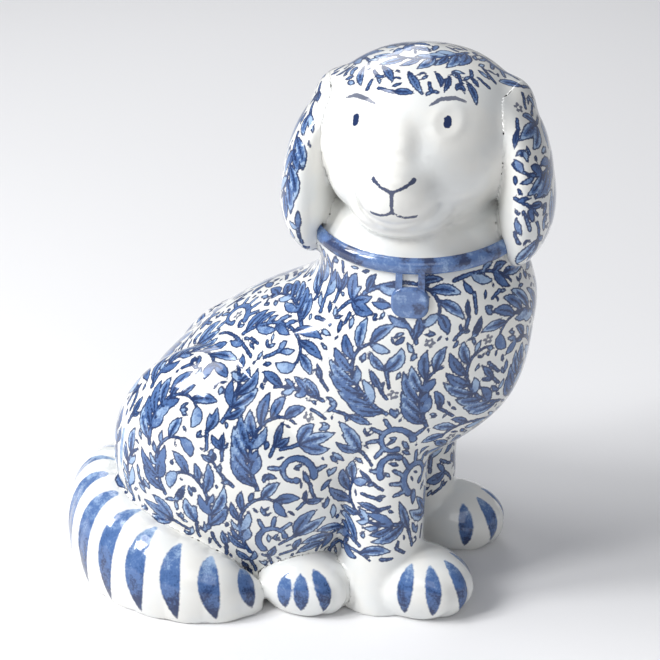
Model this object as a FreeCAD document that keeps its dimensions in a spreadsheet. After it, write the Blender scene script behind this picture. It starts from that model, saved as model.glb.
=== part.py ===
import FreeCAD, Part
import Sketcher
import math
import os

# Seated ceramic spaniel, head turned over its right shoulder.
#
# The figure is modelled as the clay pieces that the potter lutes together before firing.
# Lengths are in mm and angles in degrees. +X is the way the breast points, +Y is the dog's left,
# +Z is up, and the figure stands on z = 0. While the pieces are built, x = y = 0 is the point of
# the ground midway between the two front paws. At the end every piece is placed so that the
# origin is the middle of the figure's footprint.

V = FreeCAD.Vector
doc = FreeCAD.newDocument("CeramicSpaniel")

# ---------------------------------------------------------------- driving sizes
SIZES = {
    # body casting
    "neck_height": 150.0,        # ground to the middle of the neck joint
    "body_length": 168.0,        # breast to rump
    "body_width": 90.0,          # widest part of the torso, haunches left out
    "wall": 4.0,                 # thickness of the slip-cast walls
    "floor": 5.0,                # thickness of the clay under the cavity
    "pouring_radius": 15.0,      # hole in the foot through which the slip is poured out
    "vent_diameter": 5.0,        # lets the air out of the closed casting in the kiln
    "disc_recess": 1.2,          # the closing disc sits this far above the ground
    # haunches
    "haunch_back": 73.0,         # middle of the haunch, behind the front paws
    "haunch_rise": 50.0,         # middle of the haunch, above the ground
    "haunch_length": 100.0,
    "haunch_tall": 96.0,
    "haunch_thick": 54.0,
    "haunch_reach": 54.0,        # centre plane to the outer face of the haunch
    # neck joint
    "neck_back": 9.0,
    "neck_radius": 38.0,
    "neck_tilt": 9.0,            # the joint dips towards the face
    "face_turn": 6.0,            # the face looks this far forward of square to the body
    # head and ears
    "head_tall": 62.5,           # neck joint to crown
    "head_width": 74.0,
    "head_deep": 80.0,
    "ear_length": 68.0,
    "ear_width": 43.0,           # front edge to back edge
    "ear_thick": 19.0,
    "ear_spread": 39.4,          # middle of the head to the middle of the ear
    # front legs
    "leg_spread": 53.0,          # between the middles of the two front paws
    "leg_thick": 31.0,
    "leg_spreading": 1.5,        # gain in the leg's radius towards its top
    "leg_lean": 3.5,
    "leg_rise": 92.0,            # the leg's top, hidden in the breast
    "paw_length": 43.0,
    "paw_width": 32.0,
    "paw_tall": 25.0,
    # hind paws
    "hind_back": 41.0,
    "hind_out": 39.0,
    "hind_length": 37.0,
    "hind_width": 28.0,
    "hind_tall": 22.0,
    # tail
    "tail_back": 85.0,           # middle of the round that the tail lies in
    "tail_side": 4.5,
    "tail_reach": 66.0,          # and the radius of its outer edge
    "tail_thick": 31.0,
    "tail_tall": 40.0,
    # collar and tag
    "collar_tube": 3.4,
    "slip_gap": 0.5,            # film of slip between the collar and the neck joint
    "tag_width": 13.5,
    "tag_tall": 11.5,
    "tag_thick": 7.0,
    "tag_drop": 20.0,            # neck joint to the middle of the tag
    "tag_left": 3.0,             # the tag hangs this far off the middle of the face
    "tag_corner": 4.5,
    "tag_edge": 1.2,
    "tag_proud": 2.2,            # height of the tag's face above the chest
    "strap_width": 2.4,
    "strap_spread": 8.0,
}

sheet = doc.addObject("Spreadsheet::Sheet", "Sizes")
for row, (alias, value) in enumerate(SIZES.items(), start=1):
    sheet.set(f"A{row}", alias)
    sheet.set(f"B{row}", str(value))
    sheet.setAlias(f"B{row}", alias)
doc.recompute()


# ---------------------------------------------------------------- helpers
def bind(thing, **formulas):
    """Bind properties to formulas; x, y and z stand for the place."""
    short = {"x": "Placement.Base.x", "y": "Placement.Base.y", "z": "Placement.Base.z",
             "angle": "Placement.Rotation.Angle"}
    for name, formula in formulas.items():
        thing.setExpression(short.get(name, name), str(formula))


def share(alias, fraction):
    """A share of one driving size, as a formula."""
    return f"(Sizes.{alias} * {fraction})"


LONG_ON_X = FreeCAD.Rotation()
LONG_ON_Y = FreeCAD.Rotation(V(0, 0, 1), 90)
NECK_TILT = FreeCAD.Rotation(V(1, 0, 0), sheet.neck_tilt)


def section(name, x, y, z, longer, shorter, turn=LONG_ON_X):
    """An elliptical section: its place, its two half sizes, and the way that it is turned."""
    ring = doc.addObject("Part::Ellipse", name)
    ring.Placement.Rotation = turn
    bind(ring, MajorRadius=f"max({longer}; {shorter})", MinorRadius=f"min({longer}; {shorter})",
         x=x, y=y, z=z)
    return ring


def loft(name, sections):
    """A smooth solid through closed sections."""
    solid = doc.addObject("Part::Loft", name)
    solid.Sections = sections
    solid.Solid = True
    return solid


def ellipsoid(name, x, y, z, half_x, half_y, half_z, poles="Z"):
    """An ellipsoid; its poles lie on Z or Y, whichever keeps them away from its edges."""
    solid = doc.addObject("Part::Ellipsoid", name)
    if poles == "Y":
        solid.Placement.Rotation = FreeCAD.Rotation(V(1, 0, 0), 90)
        half_y, half_z = half_z, half_y
    bind(solid, Radius1=half_z, Radius2=half_x, Radius3=half_y, x=x, y=y, z=z)
    return solid


def fuse(name, *solids):
    result = doc.addObject("Part::MultiFuse", name)
    result.Shapes = list(solids)
    return result


def cut(name, base, *tools):
    """Take the tools off the base, one after another."""
    for count, tool in enumerate(tools, start=1):
        step = doc.addObject("Part::Cut", name if count == len(tools) else f"{name}_step_{count}")
        step.Base = base
        step.Tool = tool
        base = step
    return base


def above(name, solid, height):
    """The part of a solid above a height."""
    slab = doc.addObject("Part::Box", f"{name}_slab")
    for side in ("Length", "Width", "Height"):
        bind(slab, **{side: "Sizes.body_length * 4"})
    bind(slab, x="-Sizes.body_length * 2", y="-Sizes.body_length * 2", z=height)
    kept = doc.addObject("Part::Common", name)
    kept.Base = solid
    kept.Tool = slab
    return kept


def in_neck_frame(thing, tilted=False, drop="0"):
    """Stand a thing on the neck joint, turned to the face; drop sets it down the joint's own axis."""
    turn = FreeCAD.Rotation(V(0, 0, 1), sheet.face_turn)
    thing.Placement.Rotation = turn * NECK_TILT if tilted else turn
    lean = "sin(Sizes.neck_tilt * 1 deg)"
    bind(thing, x=f"-Sizes.neck_back - ({drop}) * {lean} * sin(Sizes.face_turn * 1 deg)",
         y=f"({drop}) * {lean} * cos(Sizes.face_turn * 1 deg)",
         z=f"Sizes.neck_height - ({drop}) * cos(Sizes.neck_tilt * 1 deg)")
    return thing


# ---------------------------------------------------------------- body casting
# Level sections of the torso: height as a share of the neck's height, front and rear as shares
# of the body's length, half width as a share of the body's width. The belly stands back behind
# the front legs, and the breast overhangs them.
# The foot starts below the ground, and everything is trimmed level there.
TORSO = (
    ("foot", -0.02, -0.125, -0.785, 0.465),
    ("haunch", 0.13, -0.085, -0.806, 0.490),
    ("belly", 0.30, -0.062, -0.775, 0.500),
    ("elbow", 0.41, 0.050, -0.735, 0.500),
    ("breast", 0.51, 0.145, -0.680, 0.490),
    ("chest", 0.62, 0.190, -0.588, 0.475),
    ("shoulder", 0.74, 0.205, -0.447, 0.455),
    ("withers", 0.83, 0.205, -0.300, 0.435),
    ("nape", 0.91, 0.180, -0.276, 0.420),
)


def torso(name, inset, overrun):
    """The torso drawn in by inset; overrun carries its neck past the joint."""
    sections = []
    for label, height, front, rear, half in TORSO:
        sections.append(section(
            f"{name}_{label}", share("body_length", round((front + rear) / 2, 4)), "0",
            share("neck_height", height),
            f"({share('body_length', round((front - rear) / 2, 4))} - {inset})",
            f"({share('body_width', half)} - {inset})"))
    neck = in_neck_frame(section(f"{name}_neck", "0", "0", "0", f"(Sizes.neck_radius - {inset})",
                                 f"(Sizes.neck_radius - {inset})"),
                         tilted=True, drop=f"-{overrun}")
    return loft(name, sections + [neck])


def haunch(name, side, inset):
    return ellipsoid(name, "-Sizes.haunch_back",
                     f"{side} * (Sizes.haunch_reach - Sizes.haunch_thick / 2)", "Sizes.haunch_rise",
                     f"Sizes.haunch_length / 2 - {inset}", f"Sizes.haunch_thick / 2 - {inset}",
                     f"Sizes.haunch_tall / 2 - {inset}", poles="Y")


SIDES = (("right", -1), ("left", 1))
CLEAR = "2"   # how far a cutting tool runs past the face that it cuts

body_lumps = fuse("body_lumps", torso("torso", "0", "0"),
                  *[haunch(f"haunch_{word}", side, "0") for word, side in SIDES])
body_outside = above("body_outside", body_lumps, "0")
body_cavity = above("body_cavity", fuse(
    "cavity_lumps", torso("torso_cavity", "Sizes.wall", CLEAR),
    *[haunch(f"haunch_cavity_{word}", side, "Sizes.wall") for word, side in SIDES]), "Sizes.floor")

pouring_hole = doc.addObject("Part::Cylinder", "pouring_hole")
bind(pouring_hole, Radius="Sizes.pouring_radius", Height=f"Sizes.floor + 2 * {CLEAR}",
     x="-Sizes.haunch_back", z=f"-{CLEAR}")

# ---------------------------------------------------------------- front legs
# A leg is a slightly spreading column with its paw in front; it leans in towards the breast, and
# starts below the ground so that it is trimmed level there.
LEG_BACK = "(Sizes.paw_length * 0.35)"   # the leg's middle line behind the paws' middles
BELOW_GROUND = "2"


def leaning(name, side, low, high, radius_low, radius_high):
    """A round column on a leg's leaning middle line, between two heights."""
    column = doc.addObject("Part::Cone", name)
    column.Placement.Rotation = FreeCAD.Rotation(V(side, 0, 0), sheet.leg_lean)
    bind(column, Radius1=radius_low, Radius2=radius_high, Height=f"({high}) - ({low})",
         x=f"-{LEG_BACK}",
         y=f"{side} * (Sizes.leg_spread / 2 - ({low}) * tan(Sizes.leg_lean * 1 deg))", z=low)
    return column


leg_outside = {}
leg_hollow = {}
for word, side in SIDES:
    column = leaning(f"leg_column_{word}", side, f"-{BELOW_GROUND}", "Sizes.leg_rise",
                     "Sizes.leg_thick / 2", "Sizes.leg_thick / 2 + Sizes.leg_spreading")
    paw = ellipsoid(f"paw_{word}", "0", f"{side} * Sizes.leg_spread / 2", "Sizes.paw_tall * 0.4",
                    "Sizes.paw_length / 2", "Sizes.paw_width / 2", "Sizes.paw_tall * 0.6")
    leg_outside[word] = fuse(f"leg_outside_{word}", column, paw)
    leg_hollow[word] = leaning(f"leg_hollow_{word}", side, "Sizes.floor * 1.6",
                               "Sizes.leg_rise - Sizes.wall * 2",
                               "Sizes.leg_thick / 2 - Sizes.wall", "Sizes.leg_thick / 2 - Sizes.wall")

body_casting = cut("body_casting", body_outside, body_cavity, pouring_hole,
                   leg_hollow["right"], leg_hollow["left"])
legs = {word: above(f"front_leg_{word}", cut(f"leg_fitted_{word}", leg_outside[word], body_lumps,
                                             leg_hollow[word]), "0")
        for word, side in SIDES}


# ---------------------------------------------------------------- base disc
def plane_of(body, role):
    """One of a body's own origin planes, found by its role."""
    for feature in body.Origin.OriginFeatures:
        if feature.Role == role:
            return feature
    raise RuntimeError(f"{body.Name} has no {role}")


base_disc = doc.addObject("PartDesign::Body", "base_disc")
disc_sketch = base_disc.newObject("Sketcher::SketchObject", "disc_outline")
disc_sketch.AttachmentSupport = (plane_of(base_disc, "XY_Plane"), [""])
disc_sketch.MapMode = "FlatFace"
for radius in (sheet.pouring_radius, sheet.vent_diameter / 2):
    disc_sketch.addGeometry(Part.Circle(V(0, 0, 0), V(0, 0, 1), radius), False)
for circle, formula in enumerate(("Sizes.pouring_radius", "Sizes.vent_diameter / 2")):
    disc_sketch.addConstraint(Sketcher.Constraint("Coincident", circle, 3, -1, 1))
    radius_row = disc_sketch.addConstraint(Sketcher.Constraint("Radius", circle, 5.0 + circle))
    disc_sketch.setExpression(f"Constraints[{radius_row}]", formula)
disc_pad = base_disc.newObject("PartDesign::Pad", "disc_pad")
disc_pad.Profile = disc_sketch
bind(disc_pad, Length="Sizes.floor - Sizes.disc_recess")
bind(base_disc, x="-Sizes.haunch_back", z="Sizes.disc_recess")

# ---------------------------------------------------------------- head casting
# Level sections of the head, in the neck's frame with the face towards -Y: height as a share of
# the head's height, set-back as a share of its depth, half depth and half width.
HEAD = (
    ("core", 0.02, 0.00, 0.330, 0.345),
    ("jaw", 0.28, -0.025, 0.465, 0.445),
    ("cheek", 0.43, -0.025, 0.500, 0.495),
    ("brow", 0.60, -0.010, 0.490, 0.500),
    ("temple", 0.78, 0.000, 0.425, 0.430),
    ("crown", 0.92, 0.000, 0.275, 0.275),
    ("top", 1.00, 0.000, 0.040, 0.040),
)
THROAT_RISE = 0.13     # the throat's narrowest ring, as a share of the head's height
THROAT_NARROW = 0.82   # and its radius as a share of the neck's


def head(name, inset, overrun):
    """The throat's cone and the head on it, drawn in by inset; overrun carries it below the joint."""
    throat = in_neck_frame(doc.addObject("Part::Cone", f"{name}_throat"), tilted=True, drop=overrun)
    bind(throat, Radius1=f"Sizes.neck_radius - {inset}",
         Radius2=f"{share('neck_radius', THROAT_NARROW)} - {inset}",
         Height=f"{share('head_tall', THROAT_RISE)} + {overrun}")
    sections = []
    for label, height, back, deep, half in HEAD:
        drop = inset if label == "top" else "0"
        thin = "0" if label == "top" else inset
        sections.append(section(
            f"{name}_{label}", "0", share("head_deep", back),
            f"{share('head_tall', height)} - {drop}",
            f"({share('head_deep', deep)} - {thin})", f"({share('head_width', half)} - {thin})",
            LONG_ON_Y))
    return fuse(name, throat, in_neck_frame(loft(f"{name}_skull", sections)))


head_outside = head("head_outside", "0", "0")
head_cavity = head("head_cavity", "Sizes.wall", CLEAR)
head_casting = cut("head_casting", head_outside, head_cavity)

# ---------------------------------------------------------------- collar
collar_roll = in_neck_frame(doc.addObject("Part::Torus", "collar_roll"), tilted=True,
                            drop="Sizes.collar_tube * 0.15")
bind(collar_roll, Radius1="Sizes.neck_radius - Sizes.collar_tube * 0.1", Radius2="Sizes.collar_tube")
neck_core = in_neck_frame(doc.addObject("Part::Cylinder", "neck_core"), tilted=True,
                          drop="Sizes.collar_tube * 2")
bind(neck_core, Radius="Sizes.neck_radius + Sizes.slip_gap", Height="Sizes.collar_tube * 4")
collar = cut("collar", collar_roll, neck_core)

# ---------------------------------------------------------------- ears
# Level sections of an ear: height above the ear's tip as a share of its length, distance out as a
# share of the ears' spread, set-back as a share of its width, half width and half thickness.
EAR = (
    ("tip", 0.000, 0.92, -0.20, 0.10, 0.06),
    ("lobe", 0.066, 0.97, -0.21, 0.33, 0.28),
    ("low", 0.220, 1.00, -0.20, 0.47, 0.49),
    ("middle", 0.470, 0.99, -0.17, 0.50, 0.50),
    ("high", 0.735, 0.88, -0.10, 0.43, 0.42),
    ("fold", 0.900, 0.68, -0.04, 0.30, 0.30),
    ("root", 1.000, 0.45, 0.00, 0.12, 0.12),
)


def ear(name, side):
    sections = []
    for label, height, out, back, half, thick in EAR:
        sections.append(section(
            f"{name}_{label}", f"{side} * {share('ear_spread', out)}", share("ear_width", back),
            f"Sizes.head_tall * 0.88 - Sizes.ear_length * {round(1 - height, 3)}",
            share("ear_width", half), share("ear_thick", thick), LONG_ON_Y))
    return cut(f"ear_{name}", in_neck_frame(loft(f"ear_lump_{name}", sections)),
               head_outside, collar_roll, body_outside)


ears = {word: ear(word, side) for word, side in SIDES}


# ---------------------------------------------------------------- hind paws
hind_lump = {}
hind_paws = {}
for word, side in SIDES:
    hind_lump[word] = ellipsoid(
        f"hind_lump_{word}", "-Sizes.hind_back", f"{side} * Sizes.hind_out",
        "Sizes.hind_tall * 0.4", "Sizes.hind_length / 2", "Sizes.hind_width / 2",
        "Sizes.hind_tall * 0.6", poles="Y")
    fitted = cut(f"hind_fitted_{word}", hind_lump[word], body_lumps,
                 doc.getObject(f"leg_column_{word}"))
    hind_paws[word] = above(f"hind_paw_{word}", fitted, "0")

# ---------------------------------------------------------------- tail
# The tail lies on the ground in a round about the right haunch. Each section stands upright
# across that round: degrees from the middle of the rump, outer edge as a share of the tail's
# reach, half thickness and height. The haunch and rump are trimmed out of its inner side.
TAIL = (
    ("root", -14, 0.90, 0.40, 0.80),
    ("rump", 8, 0.965, 0.50, 0.98),
    ("turn", 32, 1.00, 0.50, 1.00),
    ("side", 56, 1.00, 0.50, 0.90),
    ("flank", 80, 1.00, 0.50, 0.78),
    ("taper", 101, 0.98, 0.42, 0.64),
    ("thin", 115, 0.92, 0.28, 0.46),
    ("tip", 124, 0.83, 0.10, 0.24),
)
TAIL_MIDDLE = 0.32   # height of a section's middle as a share of the section's height

tail_sections = []
for label, degrees, outer, half, tall in TAIL:
    cosine = round(math.cos(math.radians(degrees)), 5)
    sine = round(math.sin(math.radians(degrees)), 5)
    upright = FreeCAD.Rotation(V(0, 0, 1), V(-cosine, -sine, 0), V(sine, -cosine, 0), "XYZ")
    radius = f"({share('tail_reach', outer)} - {share('tail_thick', half)})"
    tail_sections.append(section(
        f"tail_{label}", f"-Sizes.tail_back - {radius} * {cosine}",
        f"-Sizes.tail_side - {radius} * {sine}",
        share("tail_tall", round(tall * TAIL_MIDDLE, 4)),
        share("tail_tall", round(tall * (1 - TAIL_MIDDLE), 4)), share("tail_thick", half), upright))
tail = above("tail", cut("tail_fitted", loft("tail_lump", tail_sections), body_lumps,
                         hind_lump["right"]), "0")

# ---------------------------------------------------------------- tag and its straps
# Both stand in the neck's frame, in front of the chest, and are trimmed to it at the back.
TAG_FACE = "(Sizes.neck_radius + Sizes.tag_proud)"   # the tag's face, out from the neck's middle


def hang(thing, across, drop, out):
    """Stand a thing in front of the chest: across the face, below the neck joint, out from it."""
    thing.Placement.Rotation = FreeCAD.Rotation(V(0, 0, 1), sheet.face_turn)
    cosine, sine = "cos(Sizes.face_turn * 1 deg)", "sin(Sizes.face_turn * 1 deg)"
    bind(thing, x=f"-Sizes.neck_back + ({across}) * {cosine} + ({out}) * {sine}",
         y=f"({across}) * {sine} - ({out}) * {cosine}",
         z=f"Sizes.neck_height - ({drop})")
    return thing


tag_body = doc.addObject("PartDesign::Body", "tag_body")
outline = tag_body.newObject("Sketcher::SketchObject", "tag_outline")
outline.AttachmentSupport = (plane_of(tag_body, "XZ_Plane"), [""])
outline.MapMode = "FlatFace"
corners = [V(-5, -4, 0), V(5, -4, 0), V(5, 4, 0), V(-5, 4, 0)]
for start in range(4):
    outline.addGeometry(Part.LineSegment(corners[start], corners[(start + 1) % 4]), False)
for start in range(4):
    outline.addConstraint(Sketcher.Constraint("Coincident", start, 2, (start + 1) % 4, 1))
for line, direction in enumerate(("Horizontal", "Vertical", "Horizontal", "Vertical")):
    outline.addConstraint(Sketcher.Constraint(direction, line))
outline.addConstraint(Sketcher.Constraint("Symmetric", 0, 1, 1, 2, -1, 1))
for line, kind, formula in ((0, "DistanceX", "Sizes.tag_width"), (1, "DistanceY", "Sizes.tag_tall")):
    side_row = outline.addConstraint(Sketcher.Constraint(kind, line, 1, line, 2, 8.0))
    outline.setExpression(f"Constraints[{side_row}]", formula)
tag_pad = tag_body.newObject("PartDesign::Pad", "tag_pad")
tag_pad.Profile = outline
bind(tag_pad, Length="Sizes.tag_thick")
doc.recompute()
tag_round = tag_body.newObject("PartDesign::Fillet", "tag_round")
tag_round.Base = (tag_pad, [f"Edge{i + 1}" for i, edge in enumerate(tag_pad.Shape.Edges)
                            if abs(edge.tangentAt(edge.FirstParameter).y) > 0.9])
bind(tag_round, Radius="Sizes.tag_corner")
doc.recompute()
tag_front = min(edge.CenterOfMass.y for edge in tag_round.Shape.Edges)
tag_soft = tag_body.newObject("PartDesign::Fillet", "tag_soft")
tag_soft.Base = (tag_round, [f"Edge{i + 1}" for i, edge in enumerate(tag_round.Shape.Edges)
                             if abs(edge.CenterOfMass.y - tag_front) < 0.01])
bind(tag_soft, Radius="Sizes.tag_edge")
hang(tag_body, "Sizes.tag_left", "Sizes.tag_drop", f"{TAG_FACE} - Sizes.tag_thick")
tag = cut("tag", tag_body, body_outside, collar_roll)

straps = []
for word, side in SIDES:
    strap = doc.addObject("Part::Box", f"strap_{word}")
    bind(strap, Length="Sizes.strap_width", Width="Sizes.tag_thick",
         Height="Sizes.tag_drop - Sizes.neck_radius * sin(Sizes.neck_tilt * 1 deg)")
    hang(strap, f"Sizes.tag_left + {side} * Sizes.strap_spread / 2 - Sizes.strap_width / 2",
         "Sizes.tag_drop",
         f"{TAG_FACE} - Sizes.tag_proud * 0.35")
    straps.append(strap)
tag_straps = cut("tag_straps", fuse("straps", *straps), body_outside, collar_roll, tag_body)

# ---------------------------------------------------------------- checks and export
pieces = [body_casting, base_disc, head_casting, ears["right"], ears["left"], legs["right"],
          legs["left"], hind_paws["right"], hind_paws["left"], tail, collar, tag_straps, tag]
doc.recompute()

failed = [thing.Name for thing in doc.Objects
          if "Invalid" in thing.State or "Error" in thing.State]
if failed:
    raise RuntimeError(f"failed objects: {failed}")
for piece in pieces:
    if piece.Shape.isNull() or not piece.Shape.isValid() or not piece.Shape.Solids:
        raise RuntimeError(f"{piece.Label} has no sound solid")

# The figure's footprint is measured, and every piece moves so that its middle is the origin.
points = [point for piece in pieces for point in piece.Shape.tessellate(0.1)[0]]
whole = FreeCAD.BoundBox()
for point in points:
    whole.add(point)
shift = V(-whole.Center.x, -whole.Center.y, 0)
print(f"figure {whole.XLength:.2f} x {whole.YLength:.2f} x {whole.ZLength:.2f} mm, lowest point "
      f"{whole.ZMin:.3f}, front paws at x {shift.x:.2f}, y {shift.y:.2f}")
os.makedirs("parts", exist_ok=True)
for piece in pieces:
    shape = piece.Shape.copy()
    shape.translate(shift)
    placed = doc.addObject("Part::Feature", f"{piece.Name}_placed")
    placed.Shape = shape
    solids = len(shape.Solids)
    print(f"{piece.Label:16s} solids {solids}  volume {shape.Volume / 1000:8.2f} cm3")
    shape.exportStep(os.path.join("parts", f"{piece.Label}.step"))
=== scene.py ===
# %% [markdown]
# # A seated ceramic spaniel, painted in cobalt under a clear glaze
#
# The real figurine is slip-cast in several clay pieces that are luted together, painted with
# cobalt oxide and dipped in clear glaze. The frame holds those clay pieces at their real size.
# Here they get the soft joints of cast clay, a modelled face, and the brushwork.

# %% Load the frame
import math
import random

import bpy
import numpy as np
from mathutils import Matrix, Vector
from mathutils.bvhtree import BVHTree
from mathutils.kdtree import KDTree


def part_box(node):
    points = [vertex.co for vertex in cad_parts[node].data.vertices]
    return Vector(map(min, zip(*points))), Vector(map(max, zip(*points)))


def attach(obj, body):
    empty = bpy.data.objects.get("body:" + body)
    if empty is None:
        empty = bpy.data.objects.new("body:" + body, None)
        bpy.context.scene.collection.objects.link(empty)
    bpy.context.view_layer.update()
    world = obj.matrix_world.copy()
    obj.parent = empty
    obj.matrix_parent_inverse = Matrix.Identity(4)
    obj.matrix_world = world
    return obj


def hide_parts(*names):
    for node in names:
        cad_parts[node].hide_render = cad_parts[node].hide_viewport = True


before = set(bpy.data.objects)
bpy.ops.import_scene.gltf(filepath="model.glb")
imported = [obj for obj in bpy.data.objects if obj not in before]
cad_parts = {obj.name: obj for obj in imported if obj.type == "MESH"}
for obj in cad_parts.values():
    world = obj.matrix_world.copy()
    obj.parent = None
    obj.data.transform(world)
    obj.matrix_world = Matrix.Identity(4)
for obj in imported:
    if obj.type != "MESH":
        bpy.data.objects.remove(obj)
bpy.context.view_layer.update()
MM = 0.001                                  # one millimetre, in metres
scene = bpy.context.scene
print("frame holds", len(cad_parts), "clay pieces")

# %% [markdown]
# The camera stands a little above the figurine, on its tag side. It is set first.

# %% Camera
CAMERA_AIM = Vector((7.45, 10.76, 96.0)) * MM
CAMERA_TURN, CAMERA_RISE = math.radians(18), math.radians(24)
CAMERA_DISTANCE = 680 * MM
camera_data = bpy.data.cameras.new("camera")
camera_data.angle = math.radians(21.2)
camera = bpy.data.objects.new("camera", camera_data)
back = Vector((math.sin(CAMERA_TURN) * math.cos(CAMERA_RISE),
               -math.cos(CAMERA_TURN) * math.cos(CAMERA_RISE), math.sin(CAMERA_RISE)))
camera.location = CAMERA_AIM + back * CAMERA_DISTANCE
camera.rotation_euler = (-back).to_track_quat("-Z", "Y").to_euler()
scene.collection.objects.link(camera)
scene.camera = camera
print("camera at", [round(c, 3) for c in camera.location])

# %% [markdown]
# ## The places that the face and the paint are measured from
#
# The head's own frame has its origin in the neck joint. `across` runs to the viewer's right,
# `forward` out of the face and `up` to the crown. Keeping it in one helper means that each
# feature of the face is written as a distance that a maker could measure on the model.

# %% The head's frame
FACE_TURN = math.radians(6)
ACROSS = Vector((math.cos(FACE_TURN), math.sin(FACE_TURN), 0))
FORWARD = Vector((math.sin(FACE_TURN), -math.cos(FACE_TURN), 0))
collar_low, collar_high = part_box("collar")
NECK = (collar_low + collar_high) / 2 / MM   # middle of the neck joint, in mm
FACE_MIDDLE = -2.2                           # the face's own middle line, in mm across


def head_point(across, forward, up):
    """A point given in the head's frame, in mm."""
    return NECK + ACROSS * across + FORWARD * forward + Vector((0, 0, up))


print("neck joint at", [round(c, 1) for c in NECK])

# %% [markdown]
# ## One soft skin of clay
#
# On the bench the joints between the castings are filled with slip and wiped smooth, so the
# fired figure has soft creases and no seams. Modelling that by hand would take a blend at each
# joint. A voxel remesh of all the castings together gives it at once: the pieces and the extra
# lumps of the muzzle are joined, remeshed into one skin, and smoothed.

# %% Join copies of the castings
CASTINGS = ("body_casting", "head_casting", "ear_right", "ear_left", "front_leg_right",
            "front_leg_left", "hind_paw_right", "hind_paw_left", "tail")


def nothing_selected():
    bpy.ops.object.select_all(action="DESELECT")


def make_active(thing):
    nothing_selected()
    thing.select_set(True)
    bpy.context.view_layer.objects.active = thing


def place_applied(thing):
    make_active(thing)
    bpy.ops.object.transform_apply(location=True, rotation=True, scale=True)


clay = []
clay_points, clay_faces, face_casting = [], [], []
for number, name in enumerate(CASTINGS):
    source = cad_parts[name]
    copy = source.copy()
    copy.data = source.data.copy()
    copy.parent = None
    for key in list(copy.keys()):
        del copy[key]
    scene.collection.objects.link(copy)
    make_active(copy)
    bpy.ops.object.mode_set(mode="EDIT")
    bpy.ops.mesh.select_all(action="SELECT")
    bpy.ops.mesh.remove_doubles(threshold=0.002 * MM)
    bpy.ops.object.mode_set(mode="OBJECT")
    clay.append(copy)
    start = len(clay_points)
    clay_points += [vertex.co.copy() for vertex in copy.data.vertices]
    clay_faces += [[start + i for i in face.vertices] for face in copy.data.polygons]
    face_casting += [number] * len(copy.data.polygons)
clay_tree = BVHTree.FromPolygons(clay_points, clay_faces)
print("castings copied:", len(clay), "with", len(clay_faces), "facets")

# %% [markdown]
# The muzzle is a blunt cone of clay pressed on under the bridge of the nose, with a soft chin
# below it. Each is a lump from a sphere primitive. The remesh melts them into the head.

# %% Lumps of the face, and the plug that keeps the inside apart
FACE_LUMPS = (   # across, forward, up, half width, half depth, half height
    ("muzzle", FACE_MIDDLE, 32.5, 21.5, 16.0, 17.5, 14.5),
    ("nose_tip", FACE_MIDDLE - 0.4, 40.5, 26.0, 9.5, 9.5, 8.0),
    ("bridge", FACE_MIDDLE, 31.0, 34.0, 10.0, 13.0, 15.0),
    ("chin", FACE_MIDDLE, 25.0, 11.5, 19.0, 17.0, 10.5),
    ("cheek_right", FACE_MIDDLE - 15.5, 18.0, 23.0, 13.0, 16.5, 16.0),
    ("cheek_left", FACE_MIDDLE + 15.5, 18.0, 23.0, 13.0, 16.5, 16.0),
    ("ear_root_right", -29.0, -2.0, 39.5, 11.5, 17.5, 13.0),
    ("ear_root_left", 29.0, -2.0, 39.5, 11.5, 17.5, 13.0),
)
for name, across, forward, up, half_width, half_depth, half_height in FACE_LUMPS:
    nothing_selected()
    bpy.ops.mesh.primitive_uv_sphere_add(segments=48, ring_count=24, radius=1)
    lump = bpy.context.object
    lump.name = name
    lump.scale = Vector((half_width, half_depth, half_height)) * MM
    lump.rotation_euler = (0, 0, FACE_TURN)
    lump.location = head_point(across, forward, up) * MM
    place_applied(lump)
    clay.append(lump)

tail_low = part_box("tail")[0]
TAIL_REACH = 66.0                            # radius of the round that the tail lies in
TAIL_ROUND = Vector((tail_low.x / MM + TAIL_REACH, tail_low.y / MM + TAIL_REACH, 0))
ROOT_ANGLE = math.radians(-24)               # round from the rump, where the tail begins
nothing_selected()
bpy.ops.mesh.primitive_uv_sphere_add(segments=48, ring_count=24, radius=1)
tail_root = bpy.context.object
tail_root.scale = Vector((16, 21, 19)) * MM
tail_root.location = (TAIL_ROUND - Vector((math.cos(ROOT_ANGLE), math.sin(ROOT_ANGLE), 0)) * 44
                      + Vector((0, 0, 11))) * MM
place_applied(tail_root)
bpy.ops.object.mode_set(mode="EDIT")
bpy.ops.mesh.select_all(action="SELECT")
bpy.ops.mesh.bisect(plane_co=(0, 0, 0), plane_no=(0, 0, 1), use_fill=True, clear_inner=True)
bpy.ops.object.mode_set(mode="OBJECT")
clay.append(tail_root)

disc_low, disc_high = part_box("base_disc")
PLUG_RISE = 4 * MM
nothing_selected()
bpy.ops.mesh.primitive_cylinder_add(
    vertices=64, radius=(disc_high.x - disc_low.x) / 2 + 1.5 * MM, depth=PLUG_RISE,
    location=((disc_low.x + disc_high.x) / 2, (disc_low.y + disc_high.y) / 2,
              disc_high.z + PLUG_RISE / 2))
plug = bpy.context.object
place_applied(plug)
clay.append(plug)

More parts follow.
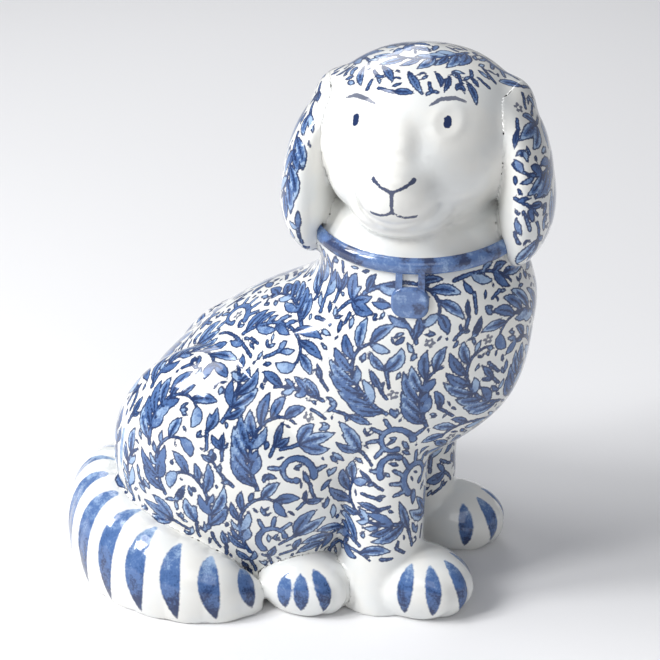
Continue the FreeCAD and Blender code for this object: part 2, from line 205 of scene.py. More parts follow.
# %% Remesh to one skin, and keep its outside
SKIN_GRAIN = 0.88 * MM      # fine enough for the brushwork
nothing_selected()
for piece in clay:
    piece.select_set(True)
bpy.context.view_layer.objects.active = clay[0]
bpy.ops.object.join()
skin = bpy.context.object
skin.name = "skin"
remesh = skin.modifiers.new("remesh", "REMESH")
remesh.mode = "VOXEL"
remesh.voxel_size = SKIN_GRAIN
bpy.ops.object.modifier_apply(modifier="remesh")
bpy.ops.mesh.separate(type="LOOSE")
shells = list(bpy.context.selected_objects)
skin = max(shells, key=lambda shell: shell.dimensions.x * shell.dimensions.y * shell.dimensions.z)
for shell in shells:
    if shell is not skin:
        bpy.data.objects.remove(shell)
skin.name = "skin"
make_active(skin)
soften = skin.modifiers.new("soften", "SMOOTH")
soften.factor = 0.5
soften.iterations = 10
bpy.ops.object.modifier_apply(modifier="soften")
print("skin has", len(skin.data.polygons), "faces; shells found:", len(shells))


# %% Read the skin as arrays, in millimetres
def read_skin():
    count = len(skin.data.vertices)
    places = np.empty(count * 3, np.float32)
    skin.data.vertices.foreach_get("co", places)
    normals = np.empty(count * 3, np.float32)
    skin.data.vertices.foreach_get("normal", normals)
    return places.reshape(-1, 3).astype(float) / MM, normals.reshape(-1, 3).astype(float)


def in_head_frame(places):
    away = places - np.array(NECK)
    return away @ np.array(ACROSS), away @ np.array(FORWARD), away[:, 2]


spots, facing = read_skin()
casting_of = np.array([face_casting[clay_tree.find_nearest(Vector(spot) * MM)[2]]
                       for spot in spots])
print("points on each casting:", dict(zip(CASTINGS, np.bincount(casting_of).tolist())))

# %% [markdown]
# The blend between muzzle, cheeks and head is broader than the rest, so only the face is
# smoothed further, through a vertex group. Small forms follow as soft dents and rises along the
# normals: the sockets with a raised lid round them, flutes between the tail's locks, and the
# grooves between the toes.

# %% Broad smoothing of the face, then dents and rises
across, forward, up = in_head_frame(spots)
on_head = casting_of == CASTINGS.index("head_casting")
face_weight = np.where(on_head & (forward > 4), np.clip((forward - 4) / 12, 0, 1), 0)
face_weight *= np.clip((up - 2) / 5, 0, 1)
by_roots = (np.abs(across) > 18) & (up > 36) & (spots[:, 2] > NECK.z)
face_weight = np.where(by_roots, np.maximum(face_weight, np.clip((up - 36) / 6, 0, 1)), face_weight)
face_group = skin.vertex_groups.new(name="face")
for step in range(1, 11):
    chosen = np.flatnonzero(np.round(face_weight * 10) == step)
    if len(chosen):
        face_group.add(chosen.tolist(), step / 10, "REPLACE")
make_active(skin)
blend = skin.modifiers.new("blend", "SMOOTH")
blend.factor = 0.5
blend.iterations = 60
blend.vertex_group = "face"
bpy.ops.object.modifier_apply(modifier="blend")
skin.vertex_groups.clear()

EYES = ((FACE_MIDDLE - 15.9, 43.8), (FACE_MIDDLE + 15.9, 45.4))   # across, up
spots, facing = read_skin()
across, forward, up = in_head_frame(spots)
rise = np.zeros(len(spots))
for eye_across, eye_up in EYES:
    away = np.hypot(across - eye_across, up - eye_up)
    front = np.clip(forward / 12, 0, 1) * on_head
    rise += front * (0.25 * np.exp(-((away - 4.6) / 1.6) ** 2) - 0.15 * np.exp(-(away / 2.6) ** 2))

TAIL_LOCKS = 12
LOCK_STEP = math.radians(13.2)
on_tail = casting_of == CASTINGS.index("tail")
tail_angle = np.arctan2(-(spots[:, 1] - TAIL_ROUND.y), -(spots[:, 0] - TAIL_ROUND.x))
rise += np.where(on_tail, 0.55 * (np.abs(np.cos(tail_angle / LOCK_STEP * math.pi)) - 0.6), 0)

PAWS = (   # casting, stripes, first and last direction in degrees
    ("front_leg_right", 4, -98, 14), ("front_leg_left", 4, -58, 62),
    ("hind_paw_right", 3, -104, -34), ("hind_paw_left", 3, 34, 104),
)
PAW_TALL = 22.0
for name, stripes, first_way, last_way in PAWS:
    low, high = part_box(name)
    paw_low, paw_high = low / MM, high / MM
    toe_step = (paw_high.y - paw_low.y) / (stripes + 1)
    here = (casting_of == CASTINGS.index(name)) & (spots[:, 2] < PAW_TALL)
    toes = np.cos((spots[:, 1] - paw_low.y) / toe_step * 2 * math.pi)
    fore = np.clip((spots[:, 0] - (paw_high.x - 22)) / 12, 0, 1)
    rise += np.where(here, -0.35 * fore * toes * np.clip((PAW_TALL - spots[:, 2]) / 8, 0, 1), 0)

spots += facing * rise[:, None]
skin.data.vertices.foreach_set("co", (spots * MM).astype(np.float32).ravel())
skin.data.update()
spots, facing = read_skin()
across, forward, up = in_head_frame(spots)
print("dents and rises from", round(rise.min(), 2), "to", round(rise.max(), 2), "mm")

# %% [markdown]
# ## The brushwork
#
# A decorator paints this pattern stroke by stroke: a stem, leaves pulled off it, seed pods and
# small sprigs in the gaps. The same order is used here. A stroke is walked over the skin as a
# line of points with a brush width at each, and every skin point near it stores its distance to
# the stroke's edge. The material turns the distances into paint, so an edge stays crisp however
# the skin is cut. Three fields are kept: leaves with an outline, thin lines, and broad stripes.

# %% A brush that walks over the skin
REACH = 4.5                 # mm round a stroke in which distances are kept
FAR = 9.0
fields = {kind: np.full(len(spots), FAR) for kind in ("leaf", "line", "stripe")}
tone = np.full(len(spots), 0.5)
clearance = np.full(len(spots), FAR)
skin_tree = KDTree(len(spots))
for index, spot in enumerate(spots):
    skin_tree.insert(spot, index)
skin_tree.balance()
skin_bvh = BVHTree.FromPolygons([Vector(s) for s in spots],
                                [tuple(f.vertices) for f in skin.data.polygons])
luck = random.Random(7)


def lay_stroke(kind, path, widths, tones):
    """Store the distance to a stroke's edge on the skin round it; widths are half widths."""
    path = np.array([tuple(point) for point in path])
    widths = np.asarray(widths, float)
    middle = path.mean(0)
    ball = np.linalg.norm(path - middle, axis=1).max() + widths.max() + REACH
    near = np.array([hit[1] for hit in skin_tree.find_range(middle, ball)], int)
    if not len(near):
        return
    start, run = path[:-1], path[1:] - path[:-1]
    away = spots[near][:, None, :] - start[None]
    share = (away * run).sum(2) / np.maximum((run ** 2).sum(1), 1e-9)
    share = np.clip(share, 0, 1)
    reach = np.linalg.norm(away - share[..., None] * run, axis=2)
    reach -= widths[:-1] + share * (widths[1:] - widths[:-1])
    best = reach.argmin(1)
    row = np.arange(len(near))
    distance = reach[row, best]
    along = (best + share[row, best]) / len(run)
    shade = tones[0] + along * (tones[1] - tones[0])
    closer = distance < fields[kind][near]
    tone[near] = np.where(closer & (distance < 0.6), shade, tone[near])
    fields[kind][near] = np.minimum(fields[kind][near], distance)
    clearance[near] = np.minimum(clearance[near], distance)


def walk(point, heading, length, steps, curl):
    """Walk over the skin. curl gives degrees of turn per mm at each share of the way."""
    point, heading = Vector(point), Vector(heading)
    path, headings, nearest = [], [], []
    stride = length / steps
    for step in range(steps + 1):
        _, index, _ = skin_tree.find(point)
        normal = Vector(facing[index])
        point = point - normal * (point - Vector(spots[index])).dot(normal)
        heading = (heading - normal * heading.dot(normal)).normalized()
        path.append(point.copy())
        headings.append(heading.copy())
        nearest.append(index)
        heading = Matrix.Rotation(math.radians(curl(step / steps) * stride), 3, normal) @ heading
        point = point + heading * stride
    return path, headings, nearest


# %% [markdown]
# A leaf is one press of a pointed brush: thin, full, thin again. It is laid only where the skin
# is still bare, because leaves in such a pattern nearly touch but hardly ever cross.

# %% Leaves, stems and the other motifs
decorated = np.ones(len(spots), bool)       # where the foliage may grow; zones are cut out later


def room(nearest, margin, skip=0.0):
    """The share of a path that lies on bare, decorated skin."""
    ends = nearest[int(len(nearest) * skip):]
    return sum(1 for i in ends if decorated[i] and clearance[i] > margin) / max(len(ends), 1)


def side_heading(heading, index, degrees):
    return Matrix.Rotation(math.radians(degrees), 3, Vector(facing[index])) @ heading


def leaf(point, heading, length, half, bend=0.0, attached=True, veined=False):
    """A pointed leaf, shorter where there is less room. True if it was laid."""
    for size in (1.0, 0.72, 0.5):
        path, _, nearest = walk(point, heading, length * size, 7, lambda share: bend / size)
        if room(nearest, half * size * 0.45 + 0.3, 0.5 if attached else 0.0) >= 0.99:
            shape = [0.18, 0.55, 0.85, 1.0, 0.95, 0.72, 0.42, 0.05]
            shade = luck.uniform(-0.15, 0.75)
            lay_stroke("leaf", path, [half * size * s for s in shape], (shade + 0.25, shade))
            if veined and size > 0.7:
                lay_stroke("line", path[:6], [0.5, 0.5, 0.48, 0.46, 0.42, 0.3], (0.9, 0.8))
            return True
    return False


def stem(point, heading, length, curl, half=(0.8, 0.4), kind="leaf", need=0.55):
    """A stem, cut short where it meets other paint. Returns its path, or nothing."""
    path, headings, nearest = walk(point, heading, length, max(int(length / 1.6), 3), curl)
    run = 0
    while run < len(nearest) and decorated[nearest[run]] and clearance[nearest[run]] > 1.5:
        run += 1
    if run < 4 or run / len(nearest) < need:
        return None
    path, headings, nearest = path[:run], headings[:run], nearest[:run]
    lay_stroke(kind, path, np.linspace(half[0], half[1], run), (0.85, 0.6))
    return path, headings, nearest


def vine(point, heading, size):
    """A curling acanthus stem with leaves pulled off both sides."""
    turn = luck.choice((-1, 1))
    length = luck.uniform(24, 36) * size
    laid = stem(point, heading, length, lambda share: turn * (1.5 + 8.5 * share ** 2), (0.8, 0.5))
    if not laid:
        return False
    path, headings, nearest = laid
    for place in range(1, len(path) - 1, 3):
        grown = 1 - 0.3 * place / len(path)
        leaf(path[place], side_heading(headings[place], nearest[place], -turn * 50),
             luck.uniform(9.5, 14.0) * size * grown, 1.75 * size, turn * 3.5, True, True)
        if place > 1:
            leaf(path[place], side_heading(headings[place], nearest[place], turn * 52),
                 luck.uniform(6.5, 10.0) * size * grown, 1.5 * size, -turn * 4)
    leaf(path[-1], headings[-1], 7 * size, 1.9 * size, turn * 9)
    return True


def lily(point, heading, size):
    """A fan of long pointed leaves on a short stem."""
    laid = stem(point, heading, 6 * size, lambda share: luck.choice((-4, 4)), (0.6, 0.75),
                "leaf", 0.9)
    if not laid:
        return False
    path, headings, nearest = laid
    for spread in (0, 28, -28, 56, -56, 84, -84)[:luck.choice((5, 5, 7))]:
        leaf(path[-1], side_heading(headings[-1], nearest[-1], spread),
             luck.uniform(11.5, 16.5) * size * (1 - abs(spread) / 220), 2.05 * size,
             -spread / 14, True, True)
    return True


def pod(point, heading, size):
    """A seed pod: a spindle with bars across it, and two leaves at its foot."""
    path, headings, nearest = walk(point, heading, 12.5 * size, 8, lambda share: 2.0)
    if room(nearest, 2.2 * size) < 0.99:
        return False
    shape = [0.2, 0.62, 0.9, 1.0, 0.98, 0.86, 0.66, 0.4, 0.1]
    lay_stroke("leaf", path, [2.25 * size * s for s in shape], (0.05, 0.05))
    for place in range(2, 7):
        sideways = side_heading(headings[place], nearest[place], 78)
        reach = 2.0 * size * shape[place]
        lay_stroke("line", [path[place] - sideways * reach, path[place] + sideways * reach],
                   [0.46, 0.46], (0.9, 0.9))
    for spread in (125, -125):
        leaf(path[0], side_heading(headings[0], nearest[0], spread), 7.0 * size, 1.4 * size,
             spread / 25)
    return True


def comb_scroll(point, heading, size):
    """A C-shaped scroll with a comb of short teeth on its outer side and a round eye."""
    turn = luck.choice((-1, 1))
    laid = stem(point, heading, 21 * size, lambda share: turn * (6 + 10 * share), (1.5, 0.8),
                "leaf", 0.8)
    if not laid:
        return False
    path, headings, nearest = laid
    for place in range(1, len(path) - 2):
        outward = side_heading(headings[place], nearest[place], -turn * 70)
        tooth, _, under = walk(path[place] + outward * 1.0, outward, 3.4 * size, 2, lambda s: 0)
        if place % 2 and decorated[under[-1]] and clearance[under[-1]] > 0.9:
            lay_stroke("leaf", tooth, [0.8, 0.95, 0.7], (0.6, 0.4))
    lay_stroke("leaf", [path[-1], path[-1] + headings[-1] * 0.5], [1.25, 1.25], (0.9, 0.9))
    return True


def sprig(point, heading, size):
    """Two or three small leaves from one point."""
    count = sum(leaf(point, side_heading(heading, skin_tree.find(point)[1], spread),
                     luck.uniform(6.5, 9.0) * size, 1.55 * size, -spread / 12, spread != 0)
                for spread in (0, 48, -48))
    return count > 0


def rosette(point, heading, size):
    """A ring of five dabs round a bare middle."""
    index = skin_tree.find(point)[1]
    if not decorated[index] or clearance[index] < 2.3:
        return False
    for petal in range(5):
        away = side_heading(heading, index, petal * 72)
        lay_stroke("line", [point + away * 1.0, point + away * 1.6], [0.6, 0.7], (0.7, 0.7))
    return True


def dab(point, heading, size):
    """A single small leaf or dot."""
    return leaf(point, heading, luck.uniform(3.6, 5.0) * size, 1.25 * size, 4, False)


# %% [markdown]
# ## Bare zones
#
# The face, the band under the chin, the ears' inner edges, the paws, the tail and the foot keep
# the white of the clay or get marks of their own.

# %% Cut the bare zones out
named = {name: casting_of == number for number, name in enumerate(CASTINGS)}
BROW_LINE = 52.5           # up from the neck joint: the foliage of the crown ends here
decorated[named["head_casting"] & (forward > 5) & (up < BROW_LINE)] = False
decorated[named["head_casting"] & (up < 8) & (forward > -24)] = False
decorated[named["tail"]] = False
decorated[spots[:, 2] < 7] = False
for name in ("front_leg_right", "front_leg_left"):
    paw_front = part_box(name)[1].x / MM
    cuff = 24 + 0.5 * np.clip(spots[:, 0] - paw_front + 30, 0, 14)   # the pattern ends at this height
    decorated[named[name] & (spots[:, 2] < cuff)] = False
for name in ("hind_paw_right", "hind_paw_left"):
    decorated[named[name]] = False
inward = facing @ np.array(ACROSS)
decorated[named["ear_right"] & ((inward > 0.45) | (across > -35))] = False
decorated[named["ear_left"] & ((inward < -0.45) | (across < 35))] = False
JOINT_TILT = math.radians(9)
joint_axis = np.array(FORWARD) * math.sin(JOINT_TILT) + np.array((0, 0, math.cos(JOINT_TILT)))
from_joint = (spots - np.array(NECK)) @ joint_axis
decorated[(np.abs(from_joint) < 4.2) & ~named["ear_right"] & ~named["ear_left"]] = False
decorated[facing[:, 2] < -0.8] = False
print("skin to decorate:", round(decorated.mean() * 100), "%")

# %% [markdown]
# ## Marks with a place of their own
#
# The eyes, brows, nose and mouth, the stripes of the tail and paws, and the leaves that hang
# over the forehead are always in the same places, so they are laid first. A ray finds the skin
# under each mark.


# %% Face marks
def on_face(across, up):
    """The skin in front of a place in the head's frame."""
    hit = skin_bvh.ray_cast(head_point(across, 80, up), -FORWARD)[0]
    return hit if hit is not None else head_point(across, 30, up)


def face_line(points, widths, tones=(0.95, 0.95)):
    lay_stroke("line", [on_face(FACE_MIDDLE + a, u) for a, u in points], widths, tones)


for side, (eye_across, eye_up) in zip((-1, 1), EYES):
    offset = eye_across - FACE_MIDDLE
    face_line([(offset, eye_up - 0.75), (offset, eye_up + 0.75)], [1.35, 1.35], (1.25, 1.25))
    brow = [(offset - side * 6.5, eye_up + 5.4 - 0.4 * side), (offset - side * 3.0, eye_up + 6.6),
            (offset + side * 1.5, eye_up + 6.6), (offset + side * 5.0, eye_up + 5.2)]
    face_line(brow, [0.35, 0.85, 0.95, 0.45], (0.8, 0.6))
NOSE, LIP, MOUTH = 24.6, 18.6, 15.2
face_line([(-7.0, NOSE + 3.4), (-4.4, NOSE + 1.6), (0, NOSE)], [0.9, 0.6, 0.75])
face_line([(7.0, NOSE + 3.8), (4.4, NOSE + 1.9), (0, NOSE)], [0.9, 0.6, 0.75])
face_line([(0, NOSE), (-0.1, LIP + 2), (0, LIP - 1.4)], [0.8, 0.6, 0.65])
face_line([(-7.6, MOUTH + 0.5), (-4.6, MOUTH + 0.2), (-2.0, MOUTH + 0.8), (0, LIP - 1.2)],
          [0.7, 0.6, 0.55, 0.55], (0.9, 0.95))
face_line([(7.8, MOUTH + 0.1), (4.6, MOUTH - 0.1), (2.0, MOUTH + 0.7), (0, LIP - 1.2)],
          [0.7, 0.6, 0.55, 0.55], (0.9, 0.95))


# %% Stripes of the tail and paws
def stripe(middle, azimuths, elevations, half, tones, steps=12):
    """A spindle stripe, where rays from outside towards a middle point meet the skin."""
    path = []
    for step in range(steps + 1):
        share = step / steps
        azimuth = azimuths[0] + (azimuths[1] - azimuths[0]) * share
        rise_angle = elevations[0] + (elevations[1] - elevations[0]) * share
        outward = Vector((math.cos(azimuth) * math.cos(rise_angle),
                          math.sin(azimuth) * math.cos(rise_angle), math.sin(rise_angle)))
        hit = skin_bvh.ray_cast(middle + outward * 60, -outward)[0]
        if hit is not None:
            path.append(hit)
    if len(path) > 2:
        shares = np.linspace(0, 1, len(path))
        shape = np.sin(np.pi * np.clip(shares, 0.02, 0.98) ** 0.85) ** 0.75
        lay_stroke("stripe", path, half * shape, tones)


for lock in range(TAIL_LOCKS):
    angle = math.radians(-17) + lock * LOCK_STEP
    if angle > math.radians(118):
        break
    outward = Vector((-math.cos(angle), -math.sin(angle), 0))
    depth = TAIL_REACH - 16 - max(0.0, math.degrees(angle) - 85) * 0.12
    middle = TAIL_ROUND + outward * depth + Vector((0, 0, 9))
    azimuth = math.atan2(outward.y, outward.x)
    tall = 1.0 - 0.35 * max(0.0, math.degrees(angle) - 60) / 60
    stripe(middle, (azimuth - 0.22, azimuth + 0.10),
           (math.radians(92 * tall), math.radians(-22)), luck.uniform(4.4, 5.0) * (0.6 + 0.4 * tall),
           (0.25, 1.45))

for name, stripes, first_way, last_way in PAWS:
    low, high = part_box(name)
    paw_low, paw_high = low / MM, high / MM
    middle = Vector((paw_high.x - 20, (paw_low.y + paw_high.y) / 2, 5))
    for toe in range(stripes):
        azimuth = math.radians(first_way + (last_way - first_way) * toe / (stripes - 1))
        stripe(middle, (azimuth, azimuth), (math.radians(58), math.radians(-4)), 3.1, (0.45, 1.35), 8)
print("stripe paint covers", int((fields["stripe"] < 0).sum()), "points")

# %% [markdown]
# The leaves on the crown hang over the forehead like a fringe, pointing down and out.

# %% Fringe of the crown
FRINGE = (   # across, up at the root; length; lean outwards in degrees
    (-22, 55.5, 11, 16), (-17, 57.0, 12, 20), (-10, 58.5, 12, 26), (-5, 58.5, 12, -4),
    (0, 58.5, 13, 12), (4, 58.0, 11, -24), (9, 58.5, 12, 14), (14, 57.5, 12, -10), (20, 55.5, 10, 8),
)
bare_zones = decorated.copy()
decorated[named["head_casting"] & (up > 44)] = True
for root, height, length, lean in FRINGE:
    start = on_face(FACE_MIDDLE + root, height)
    down = ACROSS * math.sin(math.radians(lean)) + Vector((0, 0, -math.cos(math.radians(lean))))
    leaf(start, down, length, 1.5, luck.uniform(-4, 4), False, True)
decorated[:] = bare_zones

# %% [markdown]
# ## Fill the rest, large motifs first
#
# Each new motif starts at a bare spot. When no large one fits, smaller ones follow, and dabs
# close the last gaps, which is how a decorator fills a panel.


# %% Grow the foliage
def flow(spot):
    """The way the stems lean at a place, before the painter's whim is added."""
    swirl = math.sin(spot.x / 19 + spot.z / 27) + math.cos(spot.y / 17 - spot.z / 31)
    along = Vector((0.55 * swirl, 0.35 * math.cos(spot.x / 23), 1.0))
    return Vector((along.x, along.y, -along.z)) if spot.z > NECK.z + 2 else along


MOTIFS = (   # bare width that it needs, what may be laid, its size, how often a start may fail
    (4.4, (vine, vine, vine, vine, lily, comb_scroll), 1.22, 70),
    (4.4, (vine, vine, lily, pod), 1.0, 90),
    (4.0, (lily, vine, vine, pod), 0.8, 120),
    (3.1, (pod, lily, vine, lily, vine, comb_scroll), 0.7, 200),
    (2.4, (sprig, lily, leaf, vine, sprig), 0.7, 300),
    (2.0, (sprig, leaf, sprig, rosette), 0.62, 300),
    (1.8, (dab, leaf), 0.8, 300),
)
for width, choices, size, patience in MOTIFS:
    laid, misses = 0, 0
    tried = np.zeros(len(spots), bool)
    while misses < patience:
        free = np.flatnonzero(decorated & (clearance > width) & ~tried)
        if not len(free):
            break
        index = int(free[luck.randrange(len(free))])
        point = Vector(spots[index])
        normal = Vector(facing[index])
        heading = flow(point)
        heading = (heading - normal * heading.dot(normal)).normalized()
        heading = side_heading(heading, index, luck.gauss(0, 40))
        motif = luck.choice(choices)
        if motif is leaf:
            done = leaf(point, heading, 9.5 * size, 1.9 * size, 3, False)
        else:
            done = motif(point, heading, size)
        if done:
            laid += 1
            misses = 0
        else:
            misses += 1
            for hit in skin_tree.find_range(point, 0.9):
                tried[hit[1]] = True
    print("motifs for gaps over", width, "mm:", laid)
under_paint = np.minimum(fields["leaf"], fields["line"]) < 0
print("skin under paint:", round(float(under_paint[decorated].mean()) * 100), "%")

# %% [markdown]
# ## Cut the skin back into its castings
#
# One piece is kept for each casting. Each face of the skin goes to the casting under
# it, and small stray patches go to their surroundings. Each cut is then filled with a cap. The
# fill still leaves some edges open on the body, the head and the right front leg.

# %% Store the fields and sort the faces
for kind, values in (("leaf_edge", fields["leaf"]), ("line_edge", fields["line"]),
                     ("stripe_edge", fields["stripe"]), ("tone", tone)):
    attribute = skin.data.attributes.new(kind, "FLOAT", "POINT")
    attribute.data.foreach_set("value", np.clip(values, -5, FAR).astype(np.float32))
mesh = skin.data
corner_point = np.empty(len(mesh.loops), int)
mesh.loops.foreach_get("vertex_index", corner_point)
corner_edge = np.empty(len(mesh.loops), int)
mesh.loops.foreach_get("edge_index", corner_edge)
face_size = np.array([len(face.vertices) for face in mesh.polygons])
face_start = np.concatenate(([0], np.cumsum(face_size)[:-1]))
corner_face = np.repeat(np.arange(len(face_size)), face_size)
face_of = casting_of[corner_point[face_start]].copy()
order = np.argsort(corner_edge, kind="stable")
same = corner_edge[order][1:] == corner_edge[order][:-1]
first, second = corner_face[order][:-1][same], corner_face[order][1:][same]
SMALL_PATCH = 400
for sweep in range(3):
    parent = list(range(len(face_of)))

    def root(face):
        while parent[face] != face:
            parent[face] = parent[parent[face]]
            face = parent[face]
        return face

    alike = face_of[first] == face_of[second]
    for one, two in zip(first[alike].tolist(), second[alike].tolist()):
        parent[root(one)] = root(two)
    patch = np.array([root(face) for face in range(len(face_of))])
    sizes = np.bincount(patch, minlength=len(face_of))
    stray = sizes[patch] < SMALL_PATCH   # counted in faces
    if not stray.any():
        break
    for one, two in ((first, second), (second, first)):
        edge = stray[one] & ~stray[two]
        new_home = dict(zip(patch[one[edge]].tolist(), face_of[two[edge]].tolist()))
        for face in np.flatnonzero(stray):
            face_of[face] = new_home.get(int(patch[face]), face_of[face])
print("faces moved out of stray patches:", int(stray.sum()))

# %% [markdown]
# ## The glaze
#
# Cobalt sinks into the biscuit, pools where the brush lifts, and softens a little as the glaze
# melts over it. One node group mixes those effects from the stored distances. Both blue and
# white clay sit under the same clear coat, so the gloss is set once on the shader.


# %% A node group for cobalt under glaze
def link(tree, source, target):
    tree.links.new(source, target)


def node(tree, kind, **settings):
    made = tree.nodes.new(kind)
    for key, value in settings.items():
        setattr(made, key, value)
    return made


def ramp(tree, source, low, high, out_low=0.0, out_high=1.0):
    """Map a value smoothly from one range to another."""
    made = node(tree, "ShaderNodeMapRange", interpolation_type="SMOOTHSTEP")
    for socket, value in zip(("From Min", "From Max", "To Min", "To Max"),
                             (low, high, out_low, out_high)):
        made.inputs[socket].default_value = value
    link(tree, source, made.inputs["Value"])
    return made.outputs["Result"]


def math_node(tree, operation, one, two):
    made = node(tree, "ShaderNodeMath", operation=operation)
    for socket, value in zip(made.inputs, (one, two)):
        if isinstance(value, (int, float)):
            socket.default_value = value
        else:
            link(tree, value, socket)
    return made.outputs[0]


def mix_colour(tree, factor, one, two):
    made = node(tree, "ShaderNodeMix", data_type="RGBA")
    if isinstance(factor, (int, float)):
        made.inputs["Factor"].default_value = factor
    else:
        link(tree, factor, made.inputs["Factor"])
    for socket, value in ((made.inputs[6], one), (made.inputs[7], two)):
        if isinstance(value, tuple):
            socket.default_value = value + (1.0,)
        else:
            link(tree, value, socket)
    return made.outputs[2]


def noise(tree, vector, scale, detail=3.0):
    made = node(tree, "ShaderNodeTexNoise")
    made.inputs["Scale"].default_value = scale
    made.inputs["Detail"].default_value = detail
    link(tree, vector, made.inputs["Vector"])
    return made.outputs["Fac"]


WHITE_CLAY = (0.80, 0.795, 0.76)
PALE_WASH = (0.33, 0.46, 0.66)
MID_WASH = (0.070, 0.145, 0.34)
DARK_COBALT = (0.010, 0.026, 0.095)


def cobalt_group():
    """Paint strength in, colour of the painted clay out."""
    tree = bpy.data.node_groups.new("cobalt_under_glaze", "ShaderNodeTree")
    for name, kind in (("Place", "NodeSocketVector"), ("Wash", "NodeSocketFloat"),
                       ("Line", "NodeSocketFloat"), ("Tone", "NodeSocketFloat")):
        tree.interface.new_socket(name, in_out="INPUT", socket_type=kind)
    tree.interface.new_socket("Color", in_out="OUTPUT", socket_type="NodeSocketColor")
    tree.interface.new_socket("Height", in_out="OUTPUT", socket_type="NodeSocketFloat")
    given = node(tree, "NodeGroupInput")
    result = node(tree, "NodeGroupOutput")
    pooling = noise(tree, given.outputs["Place"], 230.0)
    brush = noise(tree, given.outputs["Place"], 1300.0, 2.0)
    clouds = noise(tree, given.outputs["Place"], 60.0)
    depth = math_node(tree, "ADD", given.outputs["Tone"],
                      ramp(tree, pooling, 0.3, 0.7, -0.22, 0.22))
    depth = math_node(tree, "ADD", depth, ramp(tree, brush, 0.3, 0.7, -0.12, 0.12))
    clay_colour = mix_colour(tree, ramp(tree, clouds, 0.35, 0.65), WHITE_CLAY, (0.76, 0.775, 0.765))
    wash = mix_colour(tree, ramp(tree, depth, 0.0, 0.75), PALE_WASH, MID_WASH)
    wash = mix_colour(tree, ramp(tree, depth, 0.75, 1.3), wash, DARK_COBALT)
    colour = mix_colour(tree, given.outputs["Wash"], clay_colour, wash)
    colour = mix_colour(tree, given.outputs["Line"], colour, DARK_COBALT)
    link(tree, colour, result.inputs["Color"])
    link(tree, ramp(tree, clouds, 0.3, 0.7), result.inputs["Height"])
    return tree


COBALT = cobalt_group()


def glazed(name):
    """A material with clear glaze over clay. Returns it with its tree, cobalt group and texture
    coordinate node.
    """
    material = bpy.data.materials.new(name)
    material.use_nodes = True
    tree = material.node_tree
    shader = tree.nodes["Principled BSDF"]
    shader.inputs["Roughness"].default_value = 0.09
    shader.inputs["IOR"].default_value = 1.5
    shader.inputs["Coat Weight"].default_value = 0.35
    shader.inputs["Coat Roughness"].default_value = 0.03
    cobalt = node(tree, "ShaderNodeGroup", node_tree=COBALT)
    place = node(tree, "ShaderNodeTexCoord")
    link(tree, place.outputs["Object"], cobalt.inputs["Place"])
    bump = node(tree, "ShaderNodeBump")
    bump.inputs["Strength"].default_value = 0.12
    bump.inputs["Distance"].default_value = 0.4 * MM
    link(tree, cobalt.outputs["Height"], bump.inputs["Height"])
    link(tree, bump.outputs["Normal"], shader.inputs["Normal"])
    link(tree, cobalt.outputs["Color"], shader.inputs["Base Color"])
    return material, tree, cobalt, place


def painted_glaze():
    material, tree, cobalt, place = glazed("painted_glaze")
    edges = {}
    for name in ("leaf_edge", "line_edge", "stripe_edge", "tone"):
        reader = node(tree, "ShaderNodeAttribute", attribute_name=name)
        edges[name] = reader.outputs["Fac"]
    wobble = noise(tree, place.outputs["Object"], 900.0, 2.0)
    shake = ramp(tree, wobble, 0.3, 0.7, -0.13, 0.13)
    leaf_edge = math_node(tree, "ADD", edges["leaf_edge"], shake)
    line_edge = math_node(tree, "ADD", edges["line_edge"], shake)
    stripe_edge = math_node(tree, "ADD", edges["stripe_edge"], shake)
    leaf_wash = ramp(tree, leaf_edge, 0.12, -0.12)
    stripe_wash = ramp(tree, stripe_edge, 0.35, -0.45)
    outline_gap = math_node(tree, "ABSOLUTE", math_node(tree, "ADD", leaf_edge, 0.12), 0)
    outline = ramp(tree, outline_gap, 0.40, 0.16, 0.0, 0.92)
    line_paint = ramp(tree, line_edge, 0.12, -0.14)
    wash = math_node(tree, "MAXIMUM", leaf_wash, stripe_wash)
    line_depth = ramp(tree, edges["tone"], 0.4, 1.2, 0.75, 1.0)
    line_paint = math_node(tree, "MULTIPLY", line_paint, line_depth)
    link(tree, wash, cobalt.inputs["Wash"])
    link(tree, math_node(tree, "MAXIMUM", outline, line_paint), cobalt.inputs["Line"])
    link(tree, edges["tone"], cobalt.inputs["Tone"])
    return material


def blue_glaze():
    """Collar, straps and tag: one uneven wash all over."""
    material, tree, cobalt, place = glazed("blue_glaze")
    patches = noise(tree, place.outputs["Object"], 130.0, 2.0)
    cobalt.inputs["Wash"].default_value = 0.97
    cobalt.inputs["Line"].default_value = 0.0
    link(tree, ramp(tree, patches, 0.35, 0.65, 0.55, 1.3), cobalt.inputs["Tone"])
    return material


def biscuit():
    """The unglazed disc under the foot."""
    material = bpy.data.materials.new("biscuit")
    material.use_nodes = True
    tree = material.node_tree
    shader = tree.nodes["Principled BSDF"]
    shader.inputs["Roughness"].default_value = 0.85
    place = node(tree, "ShaderNodeTexCoord")
    grain = noise(tree, place.outputs["Object"], 1500.0, 4.0)
    link(tree, mix_colour(tree, ramp(tree, grain, 0.3, 0.7), (0.66, 0.62, 0.54), (0.55, 0.51, 0.44)),
         shader.inputs["Base Color"])
    bump = node(tree, "ShaderNodeBump")
    bump.inputs["Strength"].default_value = 0.3
    bump.inputs["Distance"].default_value = 0.1 * MM
    link(tree, grain, bump.inputs["Height"])
    link(tree, bump.outputs["Normal"], shader.inputs["Normal"])
    return material


PAINTED, BLUE, BISCUIT = painted_glaze(), blue_glaze(), biscuit()
for name in ("collar", "tag_straps", "tag"):
    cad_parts[name].data.materials.clear()
    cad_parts[name].data.materials.append(BLUE)
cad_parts["base_disc"].data.materials.clear()
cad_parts["base_disc"].data.materials.append(BISCUIT)

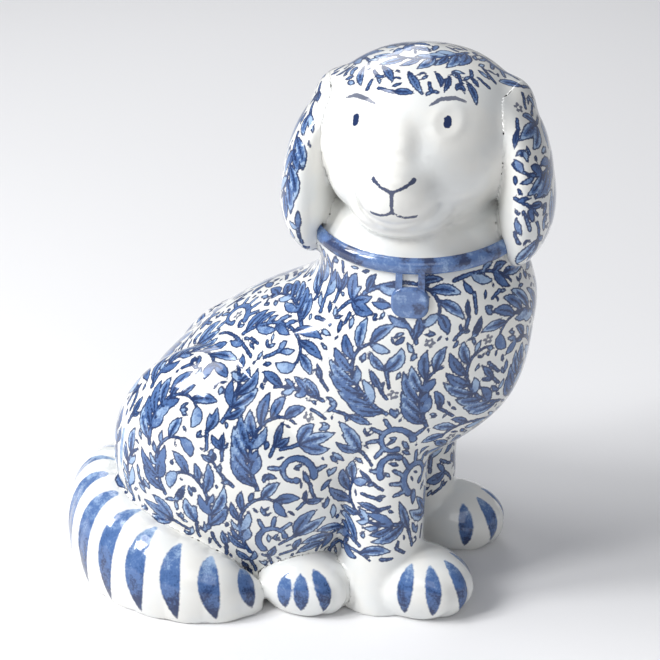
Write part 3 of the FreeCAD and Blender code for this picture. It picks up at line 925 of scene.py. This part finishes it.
# %% Cut, cap and name the pieces
mesh.materials.clear()
for name in CASTINGS:
    mesh.materials.append(PAINTED)
mesh.polygons.foreach_set("material_index", face_of.astype(np.int32))
mesh.update()
make_active(skin)
bpy.ops.object.mode_set(mode="EDIT")
bpy.ops.mesh.select_all(action="SELECT")
bpy.ops.mesh.separate(type="MATERIAL")
bpy.ops.object.mode_set(mode="OBJECT")
cut_pieces = list(bpy.context.selected_objects)
for piece in cut_pieces:
    points = piece.data.vertices
    sample = [clay_tree.find_nearest(points[i].co)[2] for i in range(0, len(points), 97)]
    votes = np.bincount([face_casting[i] for i in sample], minlength=len(CASTINGS))
    name = CASTINGS[int(votes.argmax())]
    piece.name = f"{name}_glazed"
    make_active(piece)
    bpy.ops.object.mode_set(mode="EDIT")
    bpy.ops.mesh.select_all(action="SELECT")
    bpy.ops.mesh.fill_holes(sides=0)
    bpy.ops.mesh.select_all(action="SELECT")
    bpy.ops.mesh.normals_make_consistent(inside=False)
    bpy.ops.object.mode_set(mode="OBJECT")
    bpy.ops.object.shade_smooth()
    piece.data.materials.clear()
    piece.data.materials.append(PAINTED)
    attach(piece, "root")
    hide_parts(name)
    print(piece.name, "faces", len(piece.data.polygons))

# %% [markdown]
# ## Floor and light
#
# Glaze is judged by what it reflects. A window-shaped lamp high on the left gives the bright
# panes on haunch, brow and tag, a broad soft one in front fills the shade, and a plain pale floor
# carries the shadow.

# %% Floor
nothing_selected()
bpy.ops.mesh.primitive_plane_add(size=6, location=(0, 0, 0))
floor = bpy.context.object
floor.name = "floor"
place_applied(floor)
floor_material = bpy.data.materials.new("floor_paint")
floor_material.use_nodes = True
floor_shader = floor_material.node_tree.nodes["Principled BSDF"]
floor_shader.inputs["Base Color"].default_value = (0.80, 0.80, 0.81, 1)
floor_shader.inputs["Roughness"].default_value = 0.8
floor.data.materials.append(floor_material)


# %% Lights
def lamp(name, place, power, width, height, aim=(0, 0, 0.1)):
    data = bpy.data.lights.new(name, "AREA")
    data.shape = "RECTANGLE"
    data.size, data.size_y = width, height
    data.energy = power
    made = bpy.data.objects.new(name, data)
    made.location = place
    made.rotation_euler = (Vector(aim) - Vector(place)).to_track_quat("-Z", "Y").to_euler()
    scene.collection.objects.link(made)
    return made


PANE = 0.22
for column in (-1, 1):
    for row in (-1, 1):
        lamp(f"pane_{column}_{row}", (-0.62 + column * PANE * 0.45, -0.55 - column * PANE * 0.4,
                                      0.78 + row * PANE * 0.55), 2.8, PANE * 0.85, PANE)
lamp("soft_front", (0.35, -1.1, 0.75), 2.2, 0.9, 0.6)
lamp("soft_back", (-0.5, 0.9, 0.9), 3.0, 0.7, 0.5)
sky_data = bpy.data.lights.new("even_light", "SUN")
sky_data.energy = 0.9
sky_data.angle = math.radians(25)
sky = bpy.data.objects.new("even_light", sky_data)
sky.rotation_euler = Vector((0.55, 0.15, -0.85)).to_track_quat("-Z", "Y").to_euler()
scene.collection.objects.link(sky)
world = bpy.data.worlds.new("room")
scene.world = world
world.use_nodes = True
world.node_tree.nodes["Background"].inputs["Color"].default_value = (0.93, 0.95, 1.0, 1)
world.node_tree.nodes["Background"].inputs["Strength"].default_value = 0.30
scene.view_settings.view_transform = "Standard"
